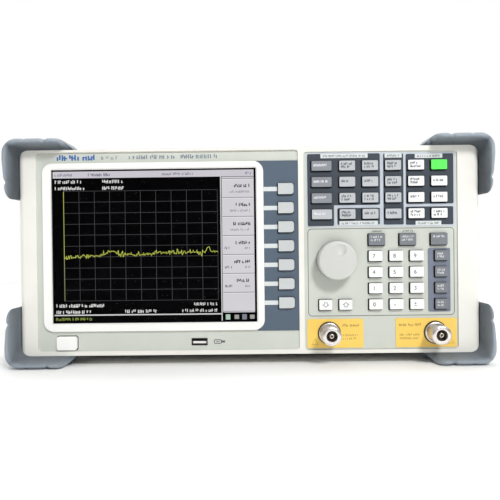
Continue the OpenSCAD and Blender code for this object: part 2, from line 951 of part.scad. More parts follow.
front_bezel();
front_panel();
display_surround();
display_window();
lcd_module();
key_plates();
port_plates();
front_board();
rf_ports();
usb_port();
corner_bumpers();
top_cover();
bottom_tray();
rear_panel();
fan_frame();
power_supply();
main_board();
rf_module();
tracking_generator();
mains_inlet();
rear_connectors();
cover_screws();
rf_cables();
tuning_knob();
power_key();
for (i = [1:SOFT])
    soft_key(i - 1);
for (d = [0:DIGITS - 1])
    number_key(digit_at(d));
number_key(num_at(1, 3));  // point_key
number_key(num_at(2, 3));  // sign_key
arrow_key(0);  // up_key
arrow_key(1);  // down_key
for (i = [1:UNITS])
    unit_key(i - 1);
edit_key(0);  // cancel_key
edit_key(1);  // backspace_key
edit_key(2);  // enter_key
analyzer_keys();
measurement_keys();
marker_keys();
utility_keys();
setting_keys();
carry_handle();
fan_rotor();
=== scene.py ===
"""Looks of the bench spectrum analyzer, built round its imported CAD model.

Lengths in this file are millimetres in the model's own frame: X to the right, Y from the front
to the back, Z up, with the floor at zero. They turn into metres when a mesh is made.
"""

import math
import random

import bmesh
import bpy
from mathutils import Matrix, Vector


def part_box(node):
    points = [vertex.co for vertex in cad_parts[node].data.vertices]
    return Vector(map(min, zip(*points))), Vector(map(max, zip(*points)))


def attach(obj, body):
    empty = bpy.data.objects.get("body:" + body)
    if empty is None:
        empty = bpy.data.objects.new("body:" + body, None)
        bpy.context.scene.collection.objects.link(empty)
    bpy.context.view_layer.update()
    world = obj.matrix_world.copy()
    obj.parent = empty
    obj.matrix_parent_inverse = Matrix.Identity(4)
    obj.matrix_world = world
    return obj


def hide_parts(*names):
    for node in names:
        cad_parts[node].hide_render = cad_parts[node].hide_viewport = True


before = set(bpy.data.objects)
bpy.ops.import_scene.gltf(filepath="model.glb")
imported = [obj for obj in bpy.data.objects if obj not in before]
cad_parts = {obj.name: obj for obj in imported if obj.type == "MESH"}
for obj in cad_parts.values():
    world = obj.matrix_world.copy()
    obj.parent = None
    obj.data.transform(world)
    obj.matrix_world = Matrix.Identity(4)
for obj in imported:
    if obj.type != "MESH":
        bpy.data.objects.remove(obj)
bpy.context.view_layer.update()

MM = 0.001
# Corners of a CAD mesh that lie closer than this many metres are one
WELD = 1e-6
scene = bpy.context.scene
rng = random.Random(4)


# ---- Places, from the frame ----


def box(node):
    """Lowest and highest corner of a CAD node."""
    lo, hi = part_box(node)
    return lo / MM, hi / MM


def solids(node):
    """Boxes of the separate solids of a CAD node, from the top row down and left to right."""
    bm = bmesh.new()
    bm.from_mesh(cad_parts[node].data)
    bmesh.ops.remove_doubles(bm, verts=bm.verts, dist=WELD)
    left = set(bm.verts)
    boxes = []
    while left:
        group = [left.pop()]
        for vert in group:
            for edge in vert.link_edges:
                other = edge.other_vert(vert)
                if other in left:
                    left.remove(other)
                    group.append(other)
        corners = [[pick(v.co[i] for v in group) / MM for i in range(3)] for pick in (min, max)]
        boxes.append([Vector(c) for c in corners])
    bm.free()
    return sorted(boxes, key=lambda b: (-round(b[0].z), b[0].x))


def middle(corners):
    return (corners[0] + corners[1]) / 2


BEZEL_LO, BEZEL_HI = box("front_bezel")
FRONT_Y = BEZEL_LO.y
MID_Z = (BEZEL_LO.z + BEZEL_HI.z) / 2
BACK_Y = box("rear_panel")[1].y
PANEL_Y = box("display_window")[0].y
OVERLAY_Y = box("key_plates")[0].y
KEY_Y = box("power_key")[0].y
GLASS_Y = box("lcd_module")[0].y
# How far a key's flange stands out round its cap
KEY_FLANGE = 1.4
# Analyzer keys left of this X are grey, and the utility key right of and above this X and Z is green
GREY_KEYS_END = 72.5
GREEN_KEY = (149.0, MID_Z + 63)


# ---- Materials ----


def srgb(code):
    """Linear colour from a hexadecimal sRGB code."""
    parts = [int(code[i:i + 2], 16) / 255 for i in (1, 3, 5)]
    return [p / 12.92 if p <= 0.04045 else ((p + 0.055) / 1.055) ** 2.4 for p in parts] + [1.0]


class Shader:
    """A node material under construction, with short ways to add the usual nodes."""

    def __init__(self, name):
        self.material = bpy.data.materials.new(name)
        self.material.use_nodes = True
        self.tree = self.material.node_tree
        self.surface = self.tree.nodes["Principled BSDF"]
        self.place = self.tree.nodes.new("ShaderNodeTexCoord").outputs["Object"]

    def add(self, kind, links=(), **settings):
        node = self.tree.nodes.new(kind)
        for key, value in settings.items():
            setattr(node, key, value)
        for socket, source in dict(links).items():
            if isinstance(source, bpy.types.NodeSocket):
                self.tree.links.new(source, node.inputs[socket])
            else:
                node.inputs[socket].default_value = source
        return node

    def noise(self, size, detail, stretch=None):
        """Noise between 0 and 1 whose features are about size millimetres across."""
        place = self.place
        if stretch:
            place = self.add("ShaderNodeMapping", {"Vector": place, "Scale": stretch}).outputs[0]
        inputs = {"Vector": place, "Scale": 1 / (size * MM), "Detail": detail}
        return self.add("ShaderNodeTexNoise", inputs).outputs["Fac"]

    def remap(self, value, low, high, to_low, to_high):
        inputs = {0: value, 1: low, 2: high, 3: to_low, 4: to_high}
        return self.add("ShaderNodeMapRange", inputs).outputs[0]

    def math(self, operation, a, b):
        return self.add("ShaderNodeMath", {0: a, 1: b}, operation=operation).outputs[0]

    def mix(self, factor, a, b, blend="MIX"):
        node = self.add("ShaderNodeMix", data_type="RGBA", blend_type=blend)
        for socket, source in ((0, factor), (6, a), (7, b)):
            if isinstance(source, bpy.types.NodeSocket):
                self.tree.links.new(source, node.inputs[socket])
            else:
                node.inputs[socket].default_value = source
        return node.outputs[2]

    def scaled(self, colour, shares):
        """The colour with its red, green and blue multiplied by the shares."""
        return self.mix(1.0, colour, [*shares, 1], "MULTIPLY")

    def inside(self, low, high=(None, None)):
        """1 where the place's X and Z lie above low and below high, else 0."""
        axes = self.add("ShaderNodeSeparateXYZ", {0: self.place}).outputs
        mask = 1.0
        for operation, limits in (("GREATER_THAN", low), ("LESS_THAN", high)):
            for axis, limit in zip((axes["X"], axes["Z"]), limits):
                if limit is not None:
                    mask = self.math("MULTIPLY", mask, self.math(operation, axis, limit * MM))
        return mask

    def bump(self, height, strength, distance):
        """Adds relief on top of what is there, distance millimetres deep at full strength."""
        node = self.add("ShaderNodeBump", {"Height": height, "Strength": strength, "Distance": distance * MM})
        below = self.surface.inputs["Normal"]
        if below.is_linked:
            self.tree.links.new(below.links[0].from_socket, node.inputs["Normal"])
        self.tree.links.new(node.outputs[0], below)

    def set(self, **values):
        for key, value in values.items():
            socket = self.surface.inputs[key.replace("_", " ")]
            if isinstance(value, bpy.types.NodeSocket):
                self.tree.links.new(value, socket)
            else:
                socket.default_value = value


def moulded(name, colour, rough, grain=0.25, grain_size=0.35, mottle=0.05, zones=(), painted_shade_from=None):
    """Moulded or printed plastic: fine grain, faint clouding and uneven gloss. zones are (colour,
    low, high) patches of another colour, bounded in X and Z. Behind the depth given by its last
    argument, if any, the colour is near-black: painted shade for gaps and for side walls in shadow."""
    s = Shader(name)
    base = srgb(colour)
    for patch, low, high in zones:
        base = s.mix(s.inside(low, high), base, srgb(patch))
    if painted_shade_from is not None:
        depth = s.add("ShaderNodeSeparateXYZ", {0: s.place}).outputs["Y"]
        # Painted shade: near-black from that depth back
        base = s.mix(s.math("GREATER_THAN", depth, painted_shade_from * MM), base, srgb("#1A1B1C"))
    cloud = s.remap(s.noise(28, 4), 0.3, 0.7, 0, 1)
    shade = s.mix(cloud, [1 - mottle, 1 - mottle, 1 - 1.2 * mottle, 1], [1, 1, 1, 1])
    base = s.mix(1.0, base, shade, "MULTIPLY")
    speck = s.remap(s.noise(0.9, 2), 0.66, 0.78, 0, 0.35)
    base = s.mix(speck, base, s.scaled(base, (0.86, 0.86, 0.85)))
    s.set(Base_Color=base, Roughness=s.remap(s.noise(9, 5), 0.25, 0.75, rough - 0.07, rough + 0.07))
    s.bump(s.noise(grain_size, 2), grain, 0.05)
    s.bump(s.noise(12, 2), 0.12, 0.05)
    return s.material


def metal(name, colour, rough, spots=0.15):
    """Bare or plated metal with fine marks and a few duller spots."""
    s = Shader(name)
    dull = s.remap(s.noise(6, 6), 0.45, 0.75, 0, spots)
    s.set(Base_Color=s.mix(dull, srgb(colour), s.scaled(srgb(colour), (0.6, 0.6, 0.58))))
    s.set(Metallic=1.0, Roughness=s.remap(s.noise(2, 5), 0.2, 0.8, rough - 0.08, rough + 0.1))
    s.bump(s.noise(0.3, 3), 0.15, 0.02)
    return s.material


def painted(name, colour):
    """Powder coat: a fine orange-peel skin with a little dust settled on it."""
    s = Shader(name)
    rough = 0.5
    cloud = s.remap(s.noise(60, 5), 0.3, 0.7, 0, 1)
    base = s.mix(cloud, s.scaled(srgb(colour), (0.93, 0.93, 0.92)), srgb(colour))
    up = s.add("ShaderNodeSeparateXYZ", {0: s.add("ShaderNodeNewGeometry").outputs["Normal"]}).outputs["Z"]
    dust = s.math("MULTIPLY", s.remap(up, 0.4, 1.0, 0, 0.3), s.noise(5, 6))
    s.set(Base_Color=s.mix(dust, base, srgb("#B9B4A8")))
    s.set(Roughness=s.remap(s.noise(1.5, 3), 0.3, 0.7, rough - 0.08, rough + 0.08))
    s.bump(s.noise(0.7, 2), 0.5, 0.04)
    s.bump(s.noise(0.2, 2), 0.2, 0.02)
    return s.material


def rubber(name, colour, recess=None):
    """Soft rubber: fine pores, paler scuffs and a faint bloom. recess is the half width and half
    height of an outline near which shade is painted into the rubber's colour, more of it higher up."""
    s = Shader(name)
    rough = 0.62
    cloud = s.remap(s.noise(20, 5), 0.3, 0.7, 0, 1)
    base = s.mix(cloud, s.scaled(srgb(colour), (0.9, 0.9, 0.91)), srgb(colour))
    scratch = s.remap(s.noise(0.8, 6, (0.15, 1, 1)), 0.62, 0.72, 0, 0.35)
    base = s.mix(scratch, base, s.scaled(base, (1.35, 1.35, 1.33)))
    if recess:
        axes = s.add("ShaderNodeSeparateXYZ", {0: s.place}).outputs
        across = s.math("SUBTRACT", s.math("ABSOLUTE", axes["X"], 0.0), recess[0] * MM)
        above = s.math("ABSOLUTE", s.math("SUBTRACT", axes["Z"], MID_Z * MM), 0.0)
        reach = s.math("MAXIMUM", across, s.math("SUBTRACT", above, recess[1] * MM))
        # Painted shade near the outline: full within 1.6 mm of it, gone 5.6 mm out, and stronger higher up
        full, gone = 1.6 * MM, 5.6 * MM
        recess_shade = s.remap(reach, full, gone, 1.0, 0.0)
        low, high = (MID_Z - 60) * MM, (MID_Z + 60) * MM
        recess_shade = s.math("MULTIPLY", recess_shade, s.remap(axes["Z"], low, high, 0.68, 0.94))
        base = s.mix(recess_shade, base, s.scaled(base, (0.13, 0.145, 0.16)))
    s.set(Base_Color=base, Roughness=s.remap(s.noise(4, 5), 0.25, 0.75, rough - 0.1, rough + 0.08))
    s.set(Sheen_Weight=0.08, Sheen_Roughness=0.5)
    s.bump(s.noise(0.25, 3), 0.35, 0.05)
    s.bump(s.noise(7, 3), 0.25, 0.1)
    return s.material


def board(name, top_z):
    """Circuit board: green mask with paler tracks, and dark and grey components above top_z."""
    s = Shader(name)
    cells = {"Vector": s.place, "Scale": 1 / (3.5 * MM)}
    tracks = s.add("ShaderNodeTexVoronoi", cells, feature="DISTANCE_TO_EDGE").outputs["Distance"]
    mask = s.mix(s.remap(tracks, 0.03, 0.07, 0, 1), srgb("#3E8F5E"), srgb("#17583A"))
    part = s.add("ShaderNodeTexVoronoi", {"Vector": s.place, "Scale": 1 / (26 * MM)}).outputs["Color"]
    grey = s.mix(s.remap(part, 0.3, 0.7, 0, 1), srgb("#1D1F22"), srgb("#8E9296"))
    s.set(Base_Color=s.mix(s.inside((None, top_z)), mask, grey))
    s.set(Roughness=s.remap(s.noise(3, 4), 0.3, 0.7, 0.35, 0.5))
    s.bump(s.remap(tracks, 0.02, 0.08, 1, 0), 0.3, 0.05)
    return s.material


def lit(name, colour, level):
    """A lit patch of the display, with the slight unevenness of its backlight."""
    s = Shader(name)
    uneven = s.remap(s.noise(45, 2), 0.3, 0.7, 0.94, 1.03)
    glow = s.mix(1.0, srgb(colour), s.mix(uneven, [0, 0, 0, 1], [1, 1, 1, 1]), "MULTIPLY")
    s.set(Base_Color=[0, 0, 0, 1], Roughness=0.9, Specular_IOR_Level=0.0)
    s.set(Emission_Color=glow, Emission_Strength=level)
    return s.material


def glass(name, colour, alpha, rough):
    """The display's clear window, or its dark glass, with faint wiping marks."""
    s = Shader(name)
    s.set(Base_Color=srgb(colour), Alpha=alpha, Specular_IOR_Level=0.03)
    s.set(Roughness=s.remap(s.noise(25, 4, (1, 1, 0.3)), 0.35, 0.7, rough, rough + 0.08))
    return s.material


# ---- Meshes ----


def make_piece(name, bm, material, body="root", smooth=False):
    """Turns a bmesh in millimetres into a piece that rides on a body."""
    bmesh.ops.recalc_face_normals(bm, faces=bm.faces)
    bmesh.ops.scale(bm, vec=(MM, MM, MM), verts=bm.verts)
    for face in bm.faces:
        face.smooth = smooth
    mesh = bpy.data.meshes.new(name)
    bm.to_mesh(mesh)
    bm.free()
    mesh.materials.append(material)
    piece = bpy.data.objects.new(name, mesh)
    scene.collection.objects.link(piece)
    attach(piece, body)
    return piece


def skin(bm, rings, closed=False):
    """Joins rings of points into one closed surface; the ends are capped unless it closes on itself."""
    verts = [[bm.verts.new(p) for p in ring] for ring in rings]
    count = len(verts[0])
    pairs = list(zip(verts, verts[1:])) + ([(verts[-1], verts[0])] if closed else [])
    for a, b in pairs:
        for i in range(count):
            j = (i + 1) % count
            bm.faces.new((a[i], a[j], b[j], b[i]))
    if not closed:
        bm.faces.new(verts[0])
        bm.faces.new(verts[-1])


def round_outline(x0, x1, z0, z1, r, steps=5):
    """Points of a rectangle with round corners."""
    points = []
    corners = ((x1 - r, z1 - r, 0), (x0 + r, z1 - r, 90), (x0 + r, z0 + r, 180), (x1 - r, z0 + r, 270))
    for cx, cz, start in corners:
        for i in range(steps + 1):
            angle = math.radians(start + 90 * i / steps)
            points.append((cx + r * math.cos(angle), cz + r * math.sin(angle)))
    return points


class Marks:
    """Thin printed or lit marks on faces that look to the front, gathered into one mesh."""

    def __init__(self, face_y, thickness=0.06):
        self.bm = bmesh.new()
        self.back = face_y
        self.front = face_y - thickness

    def outline(self, points):
        skin(self.bm, [[(x, y, z) for x, z in points] for y in (self.back, self.front)])

    def bar(self, x0, x1, z0, z1):
        self.outline([(x0, z0), (x1, z0), (x1, z1), (x0, z1)])

    def patch(self, x0, x1, z, half):
        """A patch with slightly round corners that reaches as far as half above and below z."""
        self.outline(round_outline(x0, x1, z - half, z + half, 0.3))

    def disc(self, x, z, r):
        steps = 20
        angles = [2 * math.pi * i / steps for i in range(steps)]
        self.outline([(x + r * math.cos(a), z + r * math.sin(a)) for a in angles])

    def line(self, points, width, closed=False):
        """A line of even width through the points."""
        sides = ((1, self.back), (1, self.front), (-1, self.front), (-1, self.back))
        rings = []
        last = len(points) - 1
        for i, (x, z) in enumerate(points):
            before = points[i - 1] if i or closed else points[i]
            after = points[(i + 1) % (last + 1)] if i < last or closed else points[i]
            dx, dz = after[0] - before[0], after[1] - before[1]
            size = math.hypot(dx, dz) or 1.0
            nx, nz = -dz / size * width / 2, dx / size * width / 2
            rings.append([(x + side * nx, y, z + side * nz) for side, y in sides])
        skin(self.bm, rings, closed)

    def words(self, x0, x1, z, height, bold=1.0):
        """Unreadable filler between x0 and x1 that stands for a line of print: upright strokes,
        about half of them with a short crossbar, and now and then the gap between two words."""
        gaps = (0.4, 0.46, 0.52, 0.9)
        crossed = 0.55
        wide = height * 0.2 * bold
        half_bar = height * 0.08 * bold
        x = x0
        while x < x1 - 0.3 * height:
            tall = height * rng.uniform(0.62, 1.0)
            low = z - height / 2 + rng.choice((0.0, 0.0, height - tall))
            self.bar(x, min(x + wide, x1), low, low + tall)
            step = height * rng.choice(gaps)
            if rng.random() < crossed:
                level = low + tall * rng.choice((0.25, 0.5, 0.75))
                end = min(x + 2 * wide, x + step, x1)
                self.bar(x + wide, end, level - half_bar, level + half_bar)
            x += step

    def glyph(self, text, x, z, height):
        """A figure of the built-in typeface, centred at x and z."""
        figure_share = 0.7
        curve = bpy.data.curves.new("glyph", "FONT")
        curve.body = text
        curve.align_x = "CENTER"
        curve.size = height / figure_share
        curve.extrude = (self.back - self.front) / 2
        holder = bpy.data.objects.new("glyph", curve)
        scene.collection.objects.link(holder)
        bpy.context.view_layer.update()
        mesh = bpy.data.meshes.new_from_object(holder.evaluated_get(bpy.context.evaluated_depsgraph_get()))
        low = min(v.co.y for v in mesh.vertices)
        high = max(v.co.y for v in mesh.vertices)
        depth = (self.back + self.front) / 2
        rise = z - (low + high) / 2
        mesh.transform(Matrix(((1, 0, 0, x), (0, 0, -1, depth), (0, 1, 0, rise), (0, 0, 0, 1))))
        self.bm.from_mesh(mesh)
        bpy.data.objects.remove(holder)
        bpy.data.curves.remove(curve)
        bpy.data.meshes.remove(mesh)

    def piece(self, name, material, slot, body="root"):
        make_piece(name, self.bm, material, body)


def smoothing_nodes():
    """Modifier nodes that weld a CAD mesh's doubled corners and shade it smooth."""
    tree = bpy.data.node_groups.new("weld_and_smooth", "GeometryNodeTree")
    tree.interface.new_socket("Geometry", in_out="INPUT", socket_type="NodeSocketGeometry")
    tree.interface.new_socket("Geometry", in_out="OUTPUT", socket_type="NodeSocketGeometry")
    chain = [tree.nodes.new("NodeGroupInput"), tree.nodes.new("GeometryNodeMergeByDistance")]
    chain[1].inputs["Distance"].default_value = WELD
    for domain in ("FACE", "EDGE"):
        shade = tree.nodes.new("GeometryNodeSetShadeSmooth")
        shade.domain = domain
        chain.append(shade)
    chain.append(tree.nodes.new("NodeGroupOutput"))
    for a, b in zip(chain, chain[1:]):
        tree.links.new(a.outputs[0], b.inputs[0])
    return tree


def soften(piece, width, tree=None):
    """Evens a piece's shading and, where width isn't 0, rounds its sharp edges by up to that much.
    A CAD piece comes with the tree that welds it first."""
    if tree:
        piece.modifiers.new("weld", "NODES").node_group = tree
    if width:
        bevel = piece.modifiers.new("edges", "BEVEL")
        bevel.width = width * MM
        bevel.segments = 2
        bevel.limit_method = "ANGLE"
        bevel.angle_limit = math.radians(32)
        bevel.use_clamp_overlap = True
        bevel.miter_outer = "MITER_ARC"
    normals = piece.modifiers.new("normals", "WEIGHTED_NORMAL")
    normals.keep_sharp = False
    normals.weight = 80


# ---- Camera, light and floor ----


def place_camera():
    """A camera straight ahead of the front, a little right of its middle and at about half its
    height, turned by small angles that bring the view in line with the photo."""
    place = Vector((7.93, -713.5, 100.7))
    data = bpy.data.cameras.new("camera")
    data.lens = 48.37
    data.sensor_width = 36
    camera = bpy.data.objects.new("camera", data)
    scene.collection.objects.link(camera)
    yaw, pitch, roll = -0.0121, -0.0095, -0.0115
    ahead = Vector((math.sin(yaw) * math.cos(pitch), math.cos(yaw) * math.cos(pitch), math.sin(pitch)))
    level = Vector((math.cos(yaw), -math.sin(yaw), 0))
    rise = level.cross(ahead)
    right = math.cos(roll) * level + math.sin(roll) * rise
    up = math.cos(roll) * rise - math.sin(roll) * level
    axes = Matrix((right, up, -ahead)).transposed().to_4x4()
    camera.matrix_world = Matrix.Translation(place * MM) @ axes
    scene.camera = camera


def area_light(name, place, target, size, power):
    """A round white lamp, size millimetres across, that faces its target."""
    data = bpy.data.lights.new(name, "AREA")
    data.shape = "DISK"
    data.size = size * MM
    data.energy = power
    lamp = bpy.data.objects.new(name, data)
    scene.collection.objects.link(lamp)
    lamp.location = Vector(place) * MM
    lamp.rotation_euler = (Vector(target) - Vector(place)).to_track_quat("-Z", "Y").to_euler()


def light_scene():
    """A white backdrop behind, a dim room in front with a paler ceiling, a large soft light at the
    upper right and a weak one overhead."""
    world = bpy.data.worlds.new("surroundings")
    world.use_nodes = True
    tree = world.node_tree
    place = tree.nodes.new("ShaderNodeTexCoord")
    axes = tree.nodes.new("ShaderNodeSeparateXYZ")
    tree.links.new(place.outputs["Generated"], axes.inputs[0])
    # Where along an axis the brightness starts and stops to rise, and from what to what
    backdrop = ("Y", -0.25, 0.3, 0.24, 1.0)
    ceiling = ("Z", 0.3, 0.9, 0.0, 0.35)
    levels = []
    for axis, low, high, dim, bright in (backdrop, ceiling):
        level = tree.nodes.new("ShaderNodeMapRange")
        level.interpolation_type = "SMOOTHSTEP"
        for socket, value in enumerate((low, high, dim, bright), 1):
            level.inputs[socket].default_value = value
        tree.links.new(axes.outputs[axis], level.inputs[0])
        levels.append(level)
    total = tree.nodes.new("ShaderNodeMath")
    for socket, level in enumerate(levels):
        tree.links.new(level.outputs[0], total.inputs[socket])
    tree.links.new(total.outputs[0], tree.nodes["Background"].inputs["Strength"])
    tree.nodes["Background"].inputs["Color"].default_value = (1, 1, 1, 1)
    scene.world = world
    area_light("key", place=(560, -1600, 1150), target=(0, FRONT_Y, MID_Z), size=420, power=21)
    area_light("top", place=(0, 200, 1600), target=(0, 200, 0), size=900, power=7)
    scene.view_settings.view_transform = "Standard"


def lay_floor():
    """A round sheet of pale paper, just under the bumpers."""
    radius, drop = 1300, 0.2
    bm = bmesh.new()
    bmesh.ops.create_circle(bm, cap_ends=True, radius=radius, segments=96)
    bmesh.ops.translate(bm, vec=(0, 0, -drop), verts=bm.verts)
    bmesh.ops.scale(bm, vec=(MM, MM, MM), verts=bm.verts)
    mesh = bpy.data.meshes.new("floor")
    bm.to_mesh(mesh)
    bm.free()
    mesh.materials.append(moulded("floor_paper", "#FBFBFA", 0.8, 0.1, 1.5, 0.01))
    floor = bpy.data.objects.new("floor", mesh)
    scene.collection.objects.link(floor)


# ---- Corner bumpers ----

# Section of a bumper's lip, as shares of its thickness and of its height, from the inner side out
LIP = [
    (0.02, 0.0), (0.06, 0.02), (0.1, 0.06), (0.15, 0.16), (0.2, 0.3), (0.25, 0.45), (0.3, 0.59),
    (0.35, 0.71), (0.4, 0.81), (0.45, 0.89), (0.5, 0.945), (0.55, 0.98), (0.61, 0.997), (0.67, 1.0),
    (0.74, 0.985), (0.8, 0.955), (0.86, 0.91), (0.91, 0.85), (0.955, 0.76), (0.985, 0.65),
    (1.0, 0.5), (1.0, 0.3), (1.0, 0.05),
]


def dip(place, centre, width, depth):
    """How deep a shallow groove across the bumper is at a place along it."""
    return depth * math.exp(-(((place - centre) / width) ** 2))


def bumper_stations(radius, thick, lip):
    """Sections along a bumper round the upper right corner: (point, outward direction, thickness,
    lip height). The origin is the centre of the outline's round corner, and a place on an arm is
    its distance from the sharp corner that the outline's sides would make."""
    stations = []
    flare = 0.6
    round_r = 11.5
    core = radius + thick - round_r
    # The level arm, from its pointed tip to the corner: (place, thickness less than full, lip height)
    level = [(46 - 1.25 * i, thick - 0.8 - 1.1 * i, -0.6) for i in range(6)]
    level += [(38.7, 1.0, 4.0), (38.4, 0.8, 9.0), (37.8, 0.5, 12.5), (36.8, 0.3, 14.6), (35.4, 0.1, 15.8)]
    groove_width, groove_depth, notch_depth = 2.2, 0.8, 2.2
    near, far = 8, 26
    start, steps = 34, 28
    for i in range(steps + 1):
        place = start - (start - radius) * i / steps
        less = dip(place, near, groove_width, groove_depth) + dip(place, far, groove_width, groove_depth)
        level.append((place, less, lip - dip(place, far, 1.4, notch_depth)))
    for place, less, height in level:
        stations.append(((radius - place, radius), (0, 1), thick - less, height))
    steps = 16
    for i in range(1, steps):
        angle = math.radians(90 - 90 * i / steps)
        c, s = math.cos(angle), math.sin(angle)
        if min(c, s) * (core + round_r) / max(c, s) <= core:
            reach = (core + round_r) / max(c, s)
        else:
            along = core * (c + s)
            reach = along + math.sqrt(along * along - 2 * core * core + round_r * round_r)
        stations.append(((radius * c, radius * s), (c, s), reach - radius + flare * c * c, lip))
    # The upright arm, from the corner to its rounded end, which curves in to the case
    length, bend, taper = 41, 10.5, 1.9
    steps = 24
    for i in range(steps + 1):
        place = radius + (length - bend - radius) * i / steps
        t = thick + flare - taper * i / steps - dip(place, 27, groove_width, groove_depth)
        stations.append(((radius, radius - place), (1, 0), t, lip - dip(place, 28, 1.3, notch_depth)))
    steps = 12
    for i in range(1, steps + 1):
        turn = math.radians(90 / steps * i)
        place = length - bend + bend * math.sin(turn)
        t = thick + flare - taper - 4.9 * (1 - math.cos(turn))
        stations.append(((radius, radius - place), (1, 0), t, lip * (1 - 0.3 * (1 - math.cos(turn)))))
    stations.append(((radius, radius - length), (1, 0), 1.4, lip * 0.55))
    return stations


def make_bumper(name, centre, flip, facing, radius, thick, material):
    """One rubber bumper. centre is the centre of the outline's round corner, flip the signs of
    that corner in X and Z, and facing is -1 for the front and 1 for the back."""
    lip = 16.5
    reach = 37
    clear = 0.02
    face_y = FRONT_Y if facing < 0 else BACK_Y
    rings = []
    for (px, pz), (nx, nz), t, height in bumper_stations(radius, thick, lip):
        section = [(clear, -reach), (clear, min(0.0, height))]
        section += [(a * t, b * height) for a, b in LIP]
        section += [(t, -reach * 0.5), (t * 0.99, -reach * 0.93), (t * 0.9, -reach)]
        rings.append([
            (centre[0] + flip[0] * (px + a * nx), face_y + facing * b, centre[1] + flip[1] * (pz + a * nz))
            for a, b in section
        ])
    bm = bmesh.new()
    skin(bm, rings)
    piece = make_piece(name, bm, material, smooth=True)
    soften(piece, 0)
    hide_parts("corner_bumpers")


def make_bumpers():
    half_height = (BEZEL_HI.z - BEZEL_LO.z) / 2
    material = rubber("bumper_rubber", "#97A1AA", recess=(BEZEL_HI.x, half_height))
    hi = box("corner_bumpers")[1]
    side_x = box("top_cover")[1].x
    case_half = half_height - (BEZEL_HI.x - side_x)
    outlines = (("front", -1, BEZEL_HI.x, half_height, 9), ("rear", 1, side_x, case_half, 7))
    for end, facing, half_x, half_z, radius in outlines:
        for side, sx in (("left", -1), ("right", 1)):
            for level, sz in (("bottom", -1), ("top", 1)):
                centre = (sx * (half_x - radius), MID_Z + sz * (half_z - radius))
                name = f"bumper_{end}_{level}_{side}"
                make_bumper(name, centre, (sx, sz), facing, radius, hi.x - half_x, material)


# ---- Coaxial ports ----


def lathe(name, centre, profile, material, steps=64, thread=None):
    """A turned piece on an axis along Y. profile is a list of (radius, distance ahead of the
    panel); thread is (start, end, pitch, depth) for a stretch of the profile's outer wall."""
    start, end, pitch, depth = thread or (0, 0, 1, 0)
    outer_wall = 7.5
    sharpness = 0.7
    bm = bmesh.new()
    rings = []
    for k in range(steps):
        turn = 2 * math.pi * k / steps
        ring = []
        for r, ahead in profile:
            if r > outer_wall and start < ahead < end:
                phase = (ahead / pitch - k / steps) % 1.0
                r -= depth * abs(2 * phase - 1) ** sharpness
            ring.append((centre.x + r * math.cos(turn), PANEL_Y - ahead, centre.z + r * math.sin(turn)))
        rings.append(ring)
    skin(bm, rings, closed=True)
    bmesh.ops.remove_doubles(bm, verts=bm.verts, dist=1e-4)
    piece = make_piece(name, bm, material, smooth=True)
    piece.modifiers.new("normals", "WEIGHTED_NORMAL").keep_sharp = False
    return piece


def make_ports():
    nickel = metal("port_nickel", "#EDE6E2", 0.3, spots=0.1)
    dark = moulded("port_insulator", "#2A2021", 0.45, 0.15)
    gold = metal("contact_gold", "#E6DCCB", 0.32)
    # Black for the ring round each flange, which is painted shade
    black = moulded("port_shade_ring", "#2B2420", 0.6)
    # Each port reaches front millimetres ahead of the panel and is threaded from root onwards
    front = 22.0
    root = 9.6
    pitch = 1.058
    thread_r = 7.94
    chamfer = 1.1
    steps = 44
    wall = [(thread_r, root + (front - chamfer - root) * i / steps) for i in range(steps + 1)]
    flange = [(8.5, 0.2), (8.75, 0.5), (8.75, 3.0), (8.4, 3.4), (7.1, 3.4), (7.1, root)]
    mouth = [(thread_r - chamfer, front), (4.7, front), (4.4, front - 0.3)]
    body = [(4.4, 13), (0.001, 13), (0.001, 0.2)] + flange + wall + mouth
    insulator = [(4.35, 12.9), (4.35, 13.6), (1.8, 13.6), (1.8, 12.9)]
    contact = [(0.001, 12.9), (1.9, 12.9), (1.9, 20.4), (1.65, 20.8), (0.85, 20.8), (0.85, 15), (0.001, 15)]
    # A black ring round the foot of each flange: painted shade of the gap round it
    shade_ring = [(8.2, 0.02), (9.6, 0.02), (9.6, 0.9), (9.3, 1.15), (8.2, 1.15)]
    thread = (root, front - chamfer, pitch, 0.36)
    for side, corners in zip(("output", "input"), sorted(solids("rf_ports"), key=lambda b: b[0].x)):
        centre = middle(corners)
        shell = lathe(f"{side}_port_body", centre, body, nickel, thread=thread)
        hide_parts("rf_ports")
        lathe(f"{side}_port_insulator", centre, insulator, dark, 48)
        lathe(f"{side}_port_contact", centre, contact, gold, 32)
        lathe(f"{side}_port_shade_ring", centre, shade_ring, black)


# ---- Display ----


class Screen:
    """The lit picture, placed by distances right of and below the picture's upper left corner."""

    RAISED = 0.12

    def __init__(self):
        lo, hi = box("display_window")
        inset = 2.3
        self.left = lo.x + inset
        self.top = hi.z - inset
        self.layers = {}

    def layer(self, name, depth):
        if name not in self.layers:
            self.layers[name] = Marks(GLASS_Y, depth)
        return self.layers[name]

    def bar(self, name, u0, u1, v0, v1, depth=0.05):
        self.layer(name, depth).bar(self.left + u0, self.left + u1, self.top - v1, self.top - v0)

    def words(self, name, u0, u1, v, height, bold=1.0):
        self.layer(name, self.RAISED).words(self.left + u0, self.left + u1, self.top - v, height, bold)

    def line(self, name, points, width):
        self.layer(name, self.RAISED).line([(self.left + u, self.top - v) for u, v in points], width)


def trace_level(t):
    """Divisions from the top of the graticule at t divisions from its left side."""
    floor_line = 5.98 - 0.035 * t
    humps = ((0.36, 3.1, 0.55), (0.12, 6.9, 0.8), (0.34, 9.4, 0.16))
    return floor_line - sum(h * math.exp(-(((t - at) / wide) ** 2)) for h, at, wide in humps)


